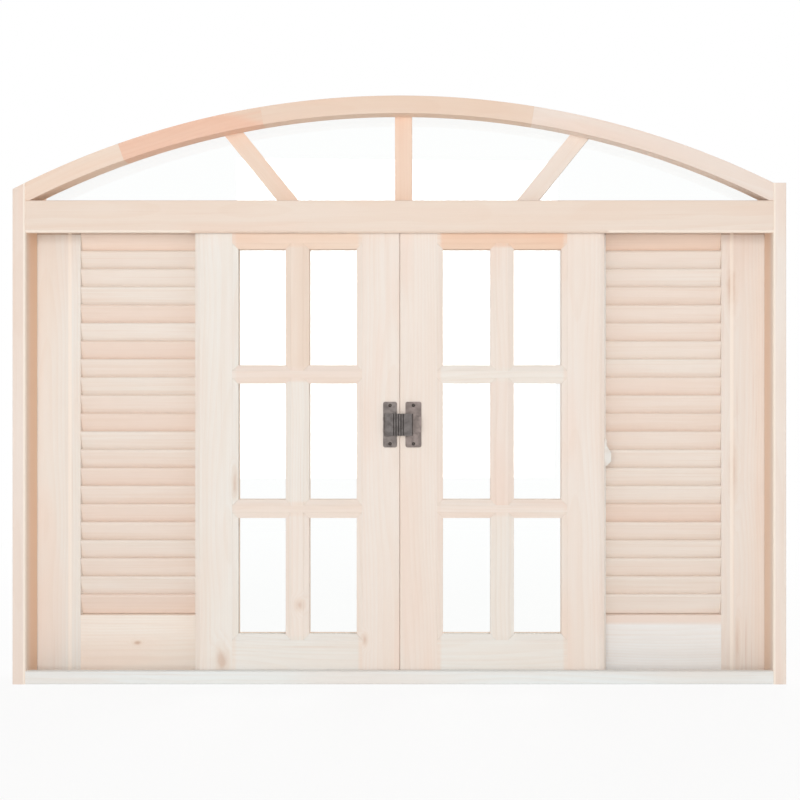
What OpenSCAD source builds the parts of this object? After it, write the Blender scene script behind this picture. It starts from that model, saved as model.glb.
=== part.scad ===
// Arched wooden window: a grooved box frame under a glued segmental arch, two fixed louvred
// shutters at the sides, and two glazed sashes that slide apart in front of them.
// Millimetres, front towards -Y, standing on its sill at z = 0.

/* [Frame] */
// Width over the two jambs
frame_w = 1500; // [1200:10:2000]
// Clear height between sill and transom
opening_h = 851; // [700:1:1100]
// Thickness of a jamb, seen as its front edge
jamb_t = 25; // [20:0.5:40]
// Thickness of the sill, seen as its front edge
sill_t = 25; // [22:0.5:45]
// Height of the transom
transom_h = 62; // [56:1:90]
// Thickness of the lip in front of the sash groove
lip_t = 14; // [13:0.5:30]
// Distance between the sash groove and the shutter groove
land_t = 16; // [8:0.5:30]
// Thickness of the lip behind the shutter groove
back_lip_t = 20; // [10:0.5:40]
// Depth of the shutter grooves in the jambs
jamb_groove_d = 10; // [6:0.5:14]
// Depth of the groove in the sill
sill_groove_d = 14; // [12:0.5:18]
// Depth of the sash groove in the transom
head_groove_d = 26; // [20:0.5:40]
// Depth of the shutter groove in the transom
shutter_groove_d = 50; // [30:0.5:52]
// How far the land between these grooves stops above the lip
land_lift = 10; // [0:0.5:12]
// Chamfer that eases the long edges of the timber
ease = 1.5; // [0.5:0.25:3]
// Chamfer along the lower front edge of the transom
lip_chamfer = 3; // [2:0.5:11]

/* [Arch] */
// Height of the arch's outer edge above the transom at the jambs
arch_spring = 34; // [28:1:60]
// Rise of the arch's outer edge from there to the crown
arch_rise = 169; // [130:1:260]
// Width of the arch's front band
arch_band = 34; // [26:0.5:44]
// Depth of the front band, before the rebate behind it
arch_band_t = 32; // [20:0.5:60]
// How far the rebate is cut back into the arch
arch_rebate = 18; // [12:0.5:24]
// Places of the glued joints in the arch, as shares of its half angle
arch_joints = [-0.74, -0.36, 0.35];

/* [Fanlight] */
// Width of a spoke
spoke_w = 33; // [20:0.5:50]
// Thickness of a spoke
spoke_t = 22; // [12:0.5:30]
// Distance of the left spoke's foot from the middle one
left_spread = 223; // [120:1:320]
// Distance of the right spoke's foot from the middle one
right_spread = 240; // [120:1:320]
// Lean of the outer spokes from upright, in degrees
spoke_lean = 39; // [10:0.5:50]
// How far the fan of spokes is set to the right of the middle
fan_shift = 6.5; // [-40:0.5:40]
// Thickness of the fanlight glass
fan_glass_t = 4; // [3:0.5:6]
// Width of the beads behind the fanlight glass
fan_bead_w = 9; // [6:0.5:12]
// Depth of the beads behind the fanlight glass
fan_bead_t = 10; // [6:0.5:16]

/* [Sashes] */
// How far a closed sash laps over the shutter beside it
leaf_lap = 64.5; // [40:0.5:85]
// Thickness of a sash
sash_t = 30; // [28:0.5:45]
// Play of a sash in its groove, front and back
slide_clear = 2; // [1:0.25:4]
// Gap between the closed sashes
meeting_gap = 0.6; // [0.6:0.1:3]
// How far a sash reaches up into the transom
head_lap = 22; // [14:0.5:24]
// Width of a sash stile
sash_stile_w = 84; // [65:0.5:100]
// Width of the slope along the outer edge of a sash
edge_w = 10; // [3:0.5:16]
// Fall of that slope towards the back
edge_d = 4; // [2:0.25:6]
// Height of a sash top rail
sash_top_h = 52; // [44:0.5:80]
// Height of a sash bottom rail
sash_bottom_h = 80; // [60:0.5:110]
// Width of the upright bars between panes
upright_w = 46; // [38:0.5:60]
// Height of the cross bars between panes
cross_bar_h = 36; // [34:0.5:60]
// Width of the moulded edge round each pane
mould_w = 11; // [6:0.5:16]
// Fall of the moulded edge towards the glass
mould_d = 4; // [2:0.25:8]
// Step at the top of the moulded edge
mould_quirk = 0.4; // [0.4:0.1:2]
// Depth of the glass behind the sash's front
glass_set = 14; // [12:0.5:17]
// Thickness of the window glass
glass_t = 4; // [3:0.5:6]
// Width of the rebate that holds the glass
rebate = 10; // [6:0.5:12]
// Play of the glass in its rebate
glass_fit = 1.5; // [0.5:0.25:3]
// Chamfer on the glazing beads
bead_chamfer = 4; // [1:0.5:6]

/* [Joinery] */
// Thickness of the tenons
tenon_t = 10; // [6:0.5:12]
// Length of the tenons
tenon_l = 45; // [20:1:60]
// Depth of the tenons behind the front of a leaf
tenon_set = 8; // [6:0.5:10]
// Shoulder left above and below a tenon
tenon_shoulder = 14; // [12:0.5:16]

/* [Shutters] */
// Thickness of a shutter
shutter_t = 34; // [32:0.5:50]
// Play of a shutter in its groove, front and back
shutter_clear = 1; // [0.5:0.25:3]
// Visible width of a shutter's outer stile
shutter_stile_w = 85; // [60:0.5:110]
// Width of a shutter's inner stile
inner_stile_w = 74; // [65:0.5:110]
// Width of the bevel along the shutter stiles, towards the slats
bevel_w = 20; // [6:0.5:30]
// Fall of that bevel, which the rails are set back by
bevel_d = 4; // [2:0.25:5]
// Height of a shutter top rail
shutter_top_h = 39; // [36:0.5:80]
// Height of a shutter bottom rail
shutter_bottom_h = 110; // [60:0.5:160]
// Distance from slat to slat, before the column is spread to fill the leaf
slat_pitch = 36; // [32:0.5:60]
// Thickness of a slat
slat_t = 9; // [6:0.5:12]
// Width of a slat along its slope
slat_w = 44; // [36:0.5:46]
// Lean of the slats from upright, in degrees, top edge to the front
slat_tilt = 22; // [20:1:35]
// Depth of the slats' front edges behind the face of the shutter
slat_set = 5; // [3:0.5:8]
// Depth of the housings that take the slat ends
slat_housing = 10; // [6:0.5:20]
// Play of a slat in its housing
slat_fit = 0.2; // [0.1:0.05:0.6]

/* [Track and glides] */
// Width of the track's foot
track_w = 20; // [14:0.5:26]
// Thickness of the track's foot
track_t = 1.5; // [1:0.25:2.5]
// Width of the track's rib
rib_w = 4; // [3:0.25:5]
// Height of the track's rib
rib_h = 7; // [5:0.25:8]
// Length of a glide
glide_l = 70; // [40:1:90]
// Width of a glide
glide_w = 10; // [9:0.5:12]
// Thickness of a glide above the rib
glide_cap = 5; // [3:0.25:8]
// Distance of a glide from the end of its sash
glide_inset = 20; // [10:1:60]
// Running clearance of a glide on the rib
run_clear = 0.3; // [0.2:0.05:0.6]
// Gap between a sash and the foot of the track
sash_lift = 1; // [0.5:0.25:2]

/* [Latch] */
// Height of the latch's middle above the foot of the sill
latch_z = 503; // [420:1:540]
// Height of the two latch plates
latch_h = 89; // [70:1:110]
// Width of the base plate on the left sash
base_w = 27; // [22:0.5:35]
// Distance of the base plate from the edge of its sash
base_inset = 5; // [1:0.5:8]
// Width of the keeper plate on the right sash
keeper_w = 31; // [26:0.5:40]
// Distance of the keeper plate from the edge of its sash
keeper_inset = 11; // [8:0.5:16]
// Thickness of the plates
plate_t = 2; // [1.5:0.25:3]
// Corner radius of the plates
plate_r = 4; // [2:0.5:8]
// Height of the bolt's tongue
tongue_h = 24; // [16:0.5:30]
// Thickness of the bolt's tongue
tongue_t = 3; // [2:0.25:3.5]
// Thickness of the guides that hold the tongue
guide_t = 1.5; // [1:0.25:2]
// Play of the tongue in its guides
bolt_clear = 0.3; // [0.2:0.05:0.5]
// Thickness of the walls beside the tongue
guide_wall = 3; // [2:0.25:4]
// How far the base plate's guides turn in over the tongue
guide_lip = 4; // [2:0.25:5]
// Travel of the bolt
bolt_travel = 12; // [8:0.5:14]
// Distance of the tongue's tail from the edge of the base plate
tail_inset = 3; // [1:0.25:6]
// How far the thumb grip reaches past the tip of the tongue
grip_overhang = 3; // [0:0.5:8]
// Width of the thumb grip
grip_w = 55; // [44:0.5:64]
// Width of the ribbed middle of the thumb grip
ribbed_w = 26; // [16:0.5:38]
// Height of the thumb grip
grip_h = 43; // [30:0.5:50]
// Thickness of the thumb grip
grip_t = 4.5; // [3:0.25:5]
// Bevel at the ends of the thumb grip
grip_bevel = 2; // [0.5:0.25:2.5]
// Number of ribs on the thumb grip
grip_ribs = 5; // [3:1:7]
// Diameter of the screw heads
screw_head_d = 7; // [5:0.25:8]
// Radius of the dome of the screw heads
screw_dome_r = 5; // [4.2:0.1:8]
// Diameter of the screw shanks
screw_d = 3; // [2.5:0.25:4]
// Length of the screws
screw_l = 20; // [12:1:24]

/* [Buffer] */
// Height of the buffer's middle above the foot of the sill
buffer_z = 448; // [200:1:700]
// Height of the buffer
buffer_h = 52; // [30:1:80]
// How far the buffer stands off the sash
buffer_reach = 14; // [8:0.5:20]
// Thickness of the buffer
buffer_t = 14; // [8:0.5:20]
// Reach of the buffer's slim top
buffer_tip = 5; // [3:0.5:8]
// Height of the buffer's slim top
buffer_tip_h = 12; // [4:0.5:20]

/* [Hidden] */

pine = [0.91, 0.82, 0.74];
pine_pale = [0.93, 0.87, 0.81];
pine_warm = [0.90, 0.78, 0.68];
clear_glass = [0.85, 0.92, 0.93, 0.4];
bare_aluminium = [0.75, 0.76, 0.78];
dark_zinc = [0.42, 0.41, 0.40];
white_nylon = [0.92, 0.91, 0.88];

// Rows of panes in a sash
pane_rows = 3;
// Extra length that carries a cut clear of the face it leaves
cut = 1;
big_circle = 720;
small_circle = 48;

// Depth planes, from the front to the back
sash_groove_w = sash_t + 2 * slide_clear;
shutter_groove_w = shutter_t + 2 * shutter_clear;
frame_depth = lip_t + sash_groove_w + land_t + shutter_groove_w + back_lip_t;
front = -frame_depth / 2;
sash_groove_y = front + lip_t;
sash_y = sash_groove_y + slide_clear;
shutter_groove_y = sash_groove_y + sash_groove_w + land_t;
shutter_y = shutter_groove_y + shutter_clear;

// Heights of the frame
inner_x = frame_w / 2 - jamb_t;
groove_floor = sill_t - sill_groove_d;
head_z = sill_t + opening_h;
transom_top = head_z + transom_h;

// Arch: one circle through the two springing points and the crown
arch_r = (inner_x * inner_x + arch_rise * arch_rise) / (2 * arch_rise);
arch_z = transom_top + arch_spring + arch_rise - arch_r;
arch_in_r = arch_r - arch_band;
arch_rebate_r = arch_in_r + arch_rebate;
arch_half = asin(inner_x / arch_r);
// The wedges that part its lengths run this many times past its ends and its outer edge
wedge_overrun = 1.5;
arch_stops = [for (share = concat([-wedge_overrun], arch_joints, [wedge_overrun])) share * arch_half];
spoke_y = front + arch_band_t;
fan_glass_y = spoke_y + spoke_t;
fan_bead_y = fan_glass_y + fan_glass_t;
arch_depth = arch_band_t + spoke_t + fan_glass_t + fan_bead_t;

// Two sashes and two shutters of one width, which fill the frame from groove to groove with their laps
shutter_x1 = inner_x + jamb_groove_d;
leaf_w = (2 * shutter_x1 + 2 * leaf_lap - meeting_gap) / 4;
shutter_x0 = shutter_x1 - leaf_w;

// Sash outline and its pane grid, on the right-hand side
sash_x0 = meeting_gap / 2;
sash_x1 = sash_x0 + leaf_w;
sash_z0 = groove_floor + track_t + sash_lift;
sash_z1 = head_z + head_lap;
cope = max(mould_w, rebate);
sight_x0 = sash_x0 + sash_stile_w;
sight_x1 = sash_x1 - sash_stile_w;
upright_x = (sight_x0 + sight_x1) / 2;
pane_w = (sight_x1 - sight_x0 - upright_w) / 2;
glazed_h = sash_z1 - sash_top_h - sash_z0 - sash_bottom_h;
pane_h = (glazed_h - (pane_rows - 1) * cross_bar_h) / pane_rows;
function pane_z(row) = sash_z0 + sash_bottom_h + row * (pane_h + cross_bar_h);
function pane_x(column) = sight_x0 + column * (pane_w + upright_w);
slot_h = rib_h - sash_lift + run_clear + glide_cap;
track_y = sash_y + sash_t / 2;
bead_t = sash_t - glass_set - glass_t;

// Shutter outline, on the right-hand side
shutter_z1 = head_z + shutter_groove_d;
slats_x0 = shutter_x0 + inner_stile_w;
slats_x1 = inner_x - shutter_stile_w;
slats_z0 = groove_floor + shutter_bottom_h;
slats_z1 = shutter_z1 - shutter_top_h;
slat_half = ((slat_w - slat_t) * cos(slat_tilt) + slat_t) / 2 + slat_fit;
slat_count = 1 + round((slats_z1 - slats_z0 - 2 * slat_half) / slat_pitch);
slat_step = (slats_z1 - slats_z0 - 2 * slat_half) / (slat_count - 1);
slat_y = shutter_y + slat_set + ((slat_w - slat_t) * sin(slat_tilt) + slat_t) / 2;

// Latch layers, measured forward from the face of the sash
tongue_y = plate_t + bolt_clear;
guide_y = tongue_y + tongue_t + bolt_clear;
grip_y = guide_y + guide_t + bolt_clear;
base_x0 = -sash_x0 - base_inset - base_w;
base_screw_x = base_x0 + base_w / 2;
keeper_x = sash_x0 + keeper_inset;
keeper_screw_x = keeper_x + keeper_w / 2;
tongue_tip = keeper_x + bolt_travel - 2 * bolt_clear;
grip_x = tongue_tip + grip_overhang - grip_w;
guide_h = tongue_h + 2 * bolt_clear;
screw_rise = latch_h / 2 - screw_head_d;

// Outline [across, deep] of the moulded edge of a bar that ends at w, glass side
function moulded_edge(w, deep) = [
    [w - mould_w, 0], [w - mould_w, mould_quirk], [w, mould_d],
    [w, glass_set], [w - rebate, glass_set], [w - rebate, deep]
];

// Outline of a stile or rail: outer edge at 0 with a slope [across, deep], moulded glass edge at w
function rail_outline(w, slope = [ease, ease]) = concat(
    [[ease, sash_t], [0, sash_t - ease], [0, slope[1]], [slope[0], 0]], moulded_edge(w, sash_t)
);

// Outline of a bar with a moulded edge on each side of its middle
function bar_outline(w) = let(half = moulded_edge(w / 2, sash_t), n = len(half)) concat(
    half, [for (i = [n - 1 : -1 : 0]) [-half[i][0], half[i][1]]]
);

// Outline of a shutter stile: bevelled towards the slats at w, plain behind
function shutter_stile_outline(w) = [
    [0, shutter_t], [0, 0], [w - bevel_w, 0], [w, bevel_d], [w, shutter_t]
];

// Outline [along, forward] of the thumb grip, its ends bevelled and its middle grooved into ribs
function grip_outline() = let(rib = ribbed_w / (2 * grip_ribs + 1), start = (grip_w - ribbed_w) / 2) concat(
    [[0, 0], [0, grip_t - grip_bevel], [grip_bevel, grip_t]],
    [for (i = [0 : grip_ribs - 1], p = [[1, 1], [1, 0.5], [2, 0.5], [2, 1]])
        [start + (2 * i + p[0]) * rib, p[1] * grip_t]],
    [[grip_w - grip_bevel, grip_t], [grip_w, grip_t - grip_bevel], [grip_w, 0]]
);

function swapped(points) = [for (p = points) [p[1], p[0]]];

// Carries a [depth, height] outline along x
module along_x(length) { rotate([90, 0, 90]) linear_extrude(length) children(); }

// Carries an [x, height] outline back along y
module along_y(length) { translate([0, length, 0]) rotate([90, 0, 0]) linear_extrude(length) children(); }

module flipped() { mirror([1, 0, 0]) children(); }

// Rectangle with its corners cut off by the easing chamfer
module eased_section(w, d) {
    polygon([
        [ease, 0], [w - ease, 0], [w, ease], [w, d - ease], [w - ease, d], [ease, d], [0, d - ease], [0, ease]
    ]);
}

module round_rect(w, h, r) {
    translate([r, 0]) square([w - 2 * r, h]);
    translate([0, r]) square([w, h - 2 * r]);
    for (x = [r, w - r], y = [r, h - r]) translate([x, y]) circle(r, $fn = small_circle);
}

// Frame members

module sill() {
    color(pine_pale) difference() {
        translate([-inner_x, front, 0]) along_x(2 * inner_x) eased_section(frame_depth, sill_t);
        translate([-inner_x - cut, sash_groove_y, groove_floor])
            cube([2 * (inner_x + cut), shutter_groove_y + shutter_groove_w - sash_groove_y, sill_groove_d + cut]);
    }
}

module transom() {
    color(pine) difference() {
        translate([-inner_x, front, head_z]) along_x(2 * inner_x) difference() {
            eased_section(frame_depth, transom_h);
            polygon([[-cut, -cut], [lip_chamfer + cut, -cut], [-cut, lip_chamfer + cut]]);
        }
        head_groove(sash_groove_y, sash_groove_w, head_groove_d);
        head_groove(sash_groove_y, shutter_groove_y - sash_groove_y + cut, land_lift);
        head_groove(shutter_groove_y, shutter_groove_w, shutter_groove_d);
    }
}

// Groove along the underside of the transom
module head_groove(y, w, deep) {
    translate([-inner_x - cut, y, head_z - cut]) cube([2 * (inner_x + cut), w, deep + cut]);
}

// Plank of a jamb, drawn on the right
module jamb_plank() {
    translate([inner_x, front, 0]) linear_extrude(transom_top + arch_spring) eased_section(jamb_t, frame_depth);
}

module jamb_groove() {
    translate([inner_x - cut, shutter_groove_y, groove_floor])
        cube([jamb_groove_d + cut, shutter_groove_w, shutter_z1 - groove_floor]);
}

// Left jamb, its top cut to the sweep of the arch
module left_jamb() {
    color(pine) flipped() difference() {
        intersection() {
            jamb_plank();
            arch_disc(arch_r, front - cut, frame_depth + 2 * cut);
        }
        jamb_groove();
    }
}

// Right jamb, its top left square
module right_jamb() {
    color(pine) difference() {
        jamb_plank();
        jamb_groove();
    }
}

// Disc about the arch's axis
module arch_disc(r, y, depth) {
    translate([0, y + depth, arch_z]) rotate([90, 0, 0]) cylinder(r = r, h = depth, $fn = big_circle);
}

// Space above the transom and between the jambs
module above_transom(lift = 0) {
    translate([-inner_x, front - cut, transom_top + lift])
        cube([2 * inner_x, frame_depth + 2 * cut, arch_spring + arch_rise + cut]);
}

// One glued length of the arch, from angle a to angle b off the crown
module arch_length(a, b, tint) {
    reach = wedge_overrun * arch_r;
    color(tint) intersection() {
        difference() {
            arch_disc(arch_r, front, arch_depth);
            arch_disc(arch_in_r, front - cut, arch_depth + 2 * cut);
            arch_disc(arch_rebate_r, spoke_y, arch_depth);
        }
        translate([0, front - cut, arch_z]) along_y(arch_depth + 2 * cut)
            polygon([[0, 0], reach * [sin(a), cos(a)], reach * [sin(b), cos(b)]]);
        above_transom();
    }
}

// Spoke of the fan: side is -1, 0 or 1
module spoke(side) {
    foot_x = fan_shift + side * (side < 0 ? left_spread : right_spread);
    color(pine_warm) intersection() {
        translate([foot_x, spoke_y, transom_top]) rotate([0, side * spoke_lean, 0])
            translate([-spoke_w / 2, 0, -spoke_w])
                cube([spoke_w, spoke_t, spoke_w + 2 * (arch_spring + arch_rise)]);
        arch_disc(arch_rebate_r, front, arch_depth);
        above_transom();
    }
}

module fanlight_pane() {
    color(clear_glass) intersection() {
        arch_disc(arch_rebate_r - glass_fit, fan_glass_y, fan_glass_t);
        translate([glass_fit - inner_x, front, transom_top])
            cube([2 * (inner_x - glass_fit), frame_depth, arch_spring + arch_rise]);
    }
}

module fanlight_arch_bead() {
    color(pine) intersection() {
        difference() {
            arch_disc(arch_rebate_r, fan_bead_y, fan_bead_t);
            arch_disc(arch_rebate_r - fan_bead_w, front, frame_depth);
        }
        above_transom(fan_bead_w);
    }
}

module fanlight_base_bead() {
    color(pine) intersection() {
        translate([-inner_x, fan_bead_y, transom_top]) cube([2 * inner_x, fan_bead_t, fan_bead_w]);
        arch_disc(arch_rebate_r, front, frame_depth);
    }
}

// Track and fillers

module sill_track() {
    color(bare_aluminium) translate([-inner_x, track_y, groove_floor]) along_x(2 * inner_x)
        polygon([
            [-track_w / 2, 0], [track_w / 2, 0], [track_w / 2, track_t], [rib_w / 2, track_t],
            [rib_w / 2, track_t + rib_h], [-rib_w / 2, track_t + rib_h], [-rib_w / 2, track_t],
            [-track_w / 2, track_t]
        ]);
}

// Strips that fill the shutter groove between the two shutters
module sill_filler() {
    color(pine) translate([-shutter_x0, shutter_groove_y, groove_floor])
        cube([2 * shutter_x0, shutter_groove_w, sill_groove_d]);
}

module head_filler() {
    color(pine) translate([-shutter_x0, shutter_groove_y, head_z])
        cube([2 * shutter_x0, shutter_groove_w, shutter_groove_d]);
}

// Shutters, drawn on the right

// Slat section on its own axis, grown by play all round
module slat_section(play) {
    core = slat_w - slat_t;
    rotate(slat_tilt) {
        square([slat_t + 2 * play, core], center = true);
        for (end = [-1, 1]) translate([0, end * core / 2]) circle(slat_t / 2 + play, $fn = small_circle);
    }
}

// Column of slats from x0 to x1
module slat_column(x0, x1, play) {
    for (i = [0 : slat_count - 1])
        translate([x0, slat_y, slats_z0 + slat_half + i * slat_step]) along_x(x1 - x0) slat_section(play);
}

module shutter_slats() {
    color(pine) slat_column(
        slats_x0 - slat_housing + slat_fit, slats_x1 + slat_housing - slat_fit, 0
    );
}

// Stile of the given width from edge x towards the slats, in direction turn
module shutter_stile_bar(x, w, turn) {
    translate([x, shutter_y, groove_floor]) linear_extrude(shutter_z1 - groove_floor)
        mirror([turn < 0 ? 1 : 0, 0]) polygon(shutter_stile_outline(w));
}

// Tenons of the rail between heights z0 and z1, reaching into both stiles
module shutter_tenons(z0, z1) {
    translate([slats_x0 - tenon_l, shutter_y + tenon_set, z0])
        cube([slats_x1 - slats_x0 + 2 * tenon_l, tenon_t, z1 - z0]);
}

module shutter_mortises() {
    shutter_tenons(groove_floor + tenon_shoulder, slats_z0 - tenon_shoulder);
    shutter_tenons(slats_z1 + tenon_shoulder, shutter_z1 - tenon_shoulder);
}

module shutter_outer_stile() {
    color(pine) difference() {
        shutter_stile_bar(shutter_x1, shutter_x1 - slats_x1, -1);
        slat_column(slats_x1 - cut, slats_x1 + slat_housing, slat_fit);
        shutter_mortises();
    }
}

module shutter_inner_stile() {
    color(pine) difference() {
        shutter_stile_bar(shutter_x0, inner_stile_w, 1);
        slat_column(slats_x0 - slat_housing, slats_x0 + cut, slat_fit);
        shutter_mortises();
    }
}

// Plain rail between the stiles, set back to the foot of their bevels
module shutter_rail(z, h) {
    translate([slats_x0, shutter_y + bevel_d, z]) cube([slats_x1 - slats_x0, shutter_t - bevel_d, h]);
    shutter_tenons(z + tenon_shoulder, z + h - tenon_shoulder);
}

module shutter_bottom_rail() { color(pine_pale) shutter_rail(groove_floor, shutter_bottom_h); }

module shutter_top_rail() { color(pine) shutter_rail(slats_z1, shutter_top_h); }

// Sashes, drawn on the right

// Plain stile, before its mortises: its outer edge at x, its glass edge in direction turn
module sash_stile_bar(x, turn, slope) {
    translate([x, sash_y, sash_z0]) linear_extrude(sash_z1 - sash_z0)
        mirror([turn < 0 ? 1 : 0, 0]) polygon(rail_outline(sash_stile_w, slope));
}

module meeting_stile_bar() { sash_stile_bar(sash_x0, 1, [ease, ease]); }

module outer_stile_bar() { sash_stile_bar(sash_x1, -1, [edge_w, edge_d]); }

module sash_stiles() {
    meeting_stile_bar();
    outer_stile_bar();
}

// Tenons of one rail or bar, reaching into both stiles
module sash_tenons(z0, z1) {
    translate([sight_x0 - tenon_l, sash_y + tenon_set, z0])
        cube([sight_x1 - sight_x0 + 2 * tenon_l, tenon_t, z1 - z0]);
}

module bottom_rail_tenons() {
    sash_tenons(sash_z0 + slot_h + tenon_shoulder, sash_z0 + sash_bottom_h - tenon_shoulder);
}

module top_rail_tenons() {
    sash_tenons(sash_z1 - sash_top_h + tenon_shoulder, sash_z1 - tenon_shoulder);
}

module cross_bar_tenons(row) {
    sash_tenons(pane_z(row) - cross_bar_h + tenon_shoulder, pane_z(row) - tenon_shoulder);
}

module sash_mortises() {
    bottom_rail_tenons();
    top_rail_tenons();
    for (row = [1 : pane_rows - 1]) cross_bar_tenons(row);
}

// Slot along the foot of the sash, where the track's rib runs
module track_slot() {
    translate([sash_x0 - cut, track_y - glide_w / 2, sash_z0 - cut])
        cube([leaf_w + 2 * cut, glide_w, slot_h + cut]);
}

// Rail or bar carried between the stiles, long enough to be coped over their moulded edges
module sash_rail_bar(z) {
    translate([sight_x0 - cope, sash_y, z]) along_x(sight_x1 - sight_x0 + 2 * cope) children();
}

module bottom_rail_bar() { sash_rail_bar(sash_z0) polygon(swapped(rail_outline(sash_bottom_h))); }

module top_rail_bar() { sash_rail_bar(sash_z1) mirror([0, 1]) polygon(swapped(rail_outline(sash_top_h))); }

module cross_bar(row) {
    sash_rail_bar(pane_z(row) - cross_bar_h / 2) polygon(swapped(bar_outline(cross_bar_h)));
}

module sash_outer_stile() {
    color(pine_pale) difference() {
        outer_stile_bar();
        sash_mortises();
        track_slot();
    }
}

// Meeting stile, bored for the screws of the latch plate whose screws are at x
module sash_meeting_stile(x) {
    color(pine) difference() {
        meeting_stile_bar();
        sash_mortises();
        track_slot();
        latch_screw_places(x) cylinder(d = screw_d + bolt_clear, h = screw_l + cut, $fn = small_circle);
    }
}

module sash_bottom_rail() {
    color(pine_pale) {
        difference() {
            bottom_rail_bar();
            sash_stiles();
            track_slot();
        }
        bottom_rail_tenons();
    }
}

module sash_top_rail() {
    color(pine) {
        difference() {
            top_rail_bar();
            sash_stiles();
        }
        top_rail_tenons();
    }
}

module sash_cross_bar(row) {
    color(pine_warm) {
        difference() {
            cross_bar(row);
            sash_stiles();
        }
        cross_bar_tenons(row);
    }
}

// Upright bar of one row of panes, coped over the edges above and below it
module sash_upright(row) {
    color(pine_pale) difference() {
        translate([upright_x, sash_y, pane_z(row) - cope])
            linear_extrude(pane_h + 2 * cope) polygon(bar_outline(upright_w));
        if (row == 0) bottom_rail_bar();
        else cross_bar(row);
        if (row == pane_rows - 1) top_rail_bar();
        else cross_bar(row + 1);
    }
}

// Places of the panes: children are drawn at each pane's lower left sight corner
module at_panes() {
    for (row = [0 : pane_rows - 1], column = [0, 1])
        translate([pane_x(column), sash_y + glass_set, pane_z(row)]) children();
}

module sash_panes() {
    held = rebate - glass_fit;
    color(clear_glass) at_panes() translate([-held, 0, -held])
        cube([pane_w + 2 * held, glass_t, pane_h + 2 * held]);
}

// Bead section in the rebate: wall side at 0, its back inner edge chamfered
module bead_section() {
    polygon([[0, 0], [rebate, 0], [rebate, bead_t - bead_chamfer], [rebate - bead_chamfer, bead_t], [0, bead_t]]);
}

module sash_beads() {
    color(pine) at_panes() translate([0, glass_t, 0]) {
        translate([-rebate, 0, -rebate]) linear_extrude(pane_h + 2 * rebate) bead_section();
        translate([pane_w + rebate, 0, -rebate]) linear_extrude(pane_h + 2 * rebate)
            mirror([1, 0]) bead_section();
        translate([0, 0, -rebate]) along_x(pane_w) mirror([1, -1]) bead_section();
        translate([0, 0, pane_h + rebate]) along_x(pane_w) mirror([0, 1]) mirror([1, -1]) bead_section();
    }
}

// Nylon glides let into the slot, straddling the rib of the track
module sash_glides() {
    color(white_nylon) for (x = [sash_x0 + glide_inset, sash_x1 - glide_inset - glide_l])
        difference() {
            translate([x, track_y - glide_w / 2, sash_z0]) cube([glide_l, glide_w, slot_h]);
            translate([x - cut, track_y - rib_w / 2 - run_clear, sash_z0 - cut])
                cube([glide_l + 2 * cut, rib_w + 2 * run_clear, slot_h - glide_cap + cut]);
        }
}

// Latch

// Flat piece on the face of a sash: from x0, z0 with size w, h, its back at depth y0 forward, t thick
module on_face(x0, z0, w, h, y0, t) {
    translate([x0, sash_y - y0 - t, latch_z + z0]) cube([w, t, h]);
}

module latch_plate(x0, w) {
    translate([x0, sash_y - plate_t, latch_z - latch_h / 2]) along_y(plate_t) round_rect(w, latch_h, plate_r);
}

// Axes of the two screws of a plate, pointing into the wood from the plate's front
module latch_screw_places(x) {
    for (z = [-screw_rise, screw_rise])
        translate([x, sash_y - plate_t, latch_z + z]) rotate([-90, 0, 0]) children();
}

// Side walls and turned-over lips that hold the tongue between x0 and x0 + w
module tongue_guides(x0, w, lip) {
    for (side = [-1, 1]) {
        wall_z = side > 0 ? guide_h / 2 : -guide_h / 2 - guide_wall;
        lip_z = side > 0 ? guide_h / 2 - lip : -guide_h / 2 - guide_wall;
        on_face(x0, wall_z, w, guide_wall, plate_t, guide_y - plate_t + guide_t);
        on_face(x0, lip_z, w, guide_wall + lip, guide_y, guide_t);
    }
}

module latch_base() {
    color(dark_zinc) difference() {
        union() {
            latch_plate(base_x0, base_w);
            tongue_guides(base_x0, base_w, guide_lip);
        }
        latch_screw_places(base_screw_x)
            translate([0, 0, -cut]) cylinder(d = screw_d + bolt_clear, h = plate_t + 2 * cut, $fn = small_circle);
    }
}

// Keeper: its two lips meet in a strap across the tongue
module latch_keeper() {
    color(dark_zinc) difference() {
        union() {
            latch_plate(keeper_x, keeper_w);
            tongue_guides(keeper_x, keeper_w, guide_h / 2);
        }
        latch_screw_places(keeper_screw_x)
            translate([0, 0, -cut]) cylinder(d = screw_d + bolt_clear, h = plate_t + 2 * cut, $fn = small_circle);
    }
}

// Sliding bolt: a flat tongue, a neck and a ribbed thumb grip
module latch_bolt() {
    tail_x = base_x0 + tail_inset;
    neck_w = keeper_inset / 2 - tail_x;
    neck_h = guide_h - 2 * (guide_lip + bolt_clear);
    color(dark_zinc) {
        on_face(tail_x, -tongue_h / 2, tongue_tip - tail_x, tongue_h, tongue_y, tongue_t);
        on_face(tail_x, -neck_h / 2, neck_w, neck_h, tongue_y, grip_y - tongue_y + grip_t / 2);
        translate([grip_x, sash_y - grip_y, latch_z - grip_h / 2]) linear_extrude(grip_h)
            mirror([0, 1]) polygon(grip_outline());
    }
}

// Screw with a domed head, its axis along z, the head's seat at 0
module screw() {
    dome_drop = sqrt(screw_dome_r * screw_dome_r - screw_head_d * screw_head_d / 4);
    intersection() {
        translate([0, 0, dome_drop]) sphere(screw_dome_r, $fn = small_circle);
        translate([0, 0, -screw_dome_r]) cylinder(d = screw_head_d, h = screw_dome_r, $fn = small_circle);
    }
    cylinder(d = screw_d, h = screw_l, $fn = small_circle);
}

module latch_screws(x) { color(dark_zinc) latch_screw_places(x) screw(); }

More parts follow.
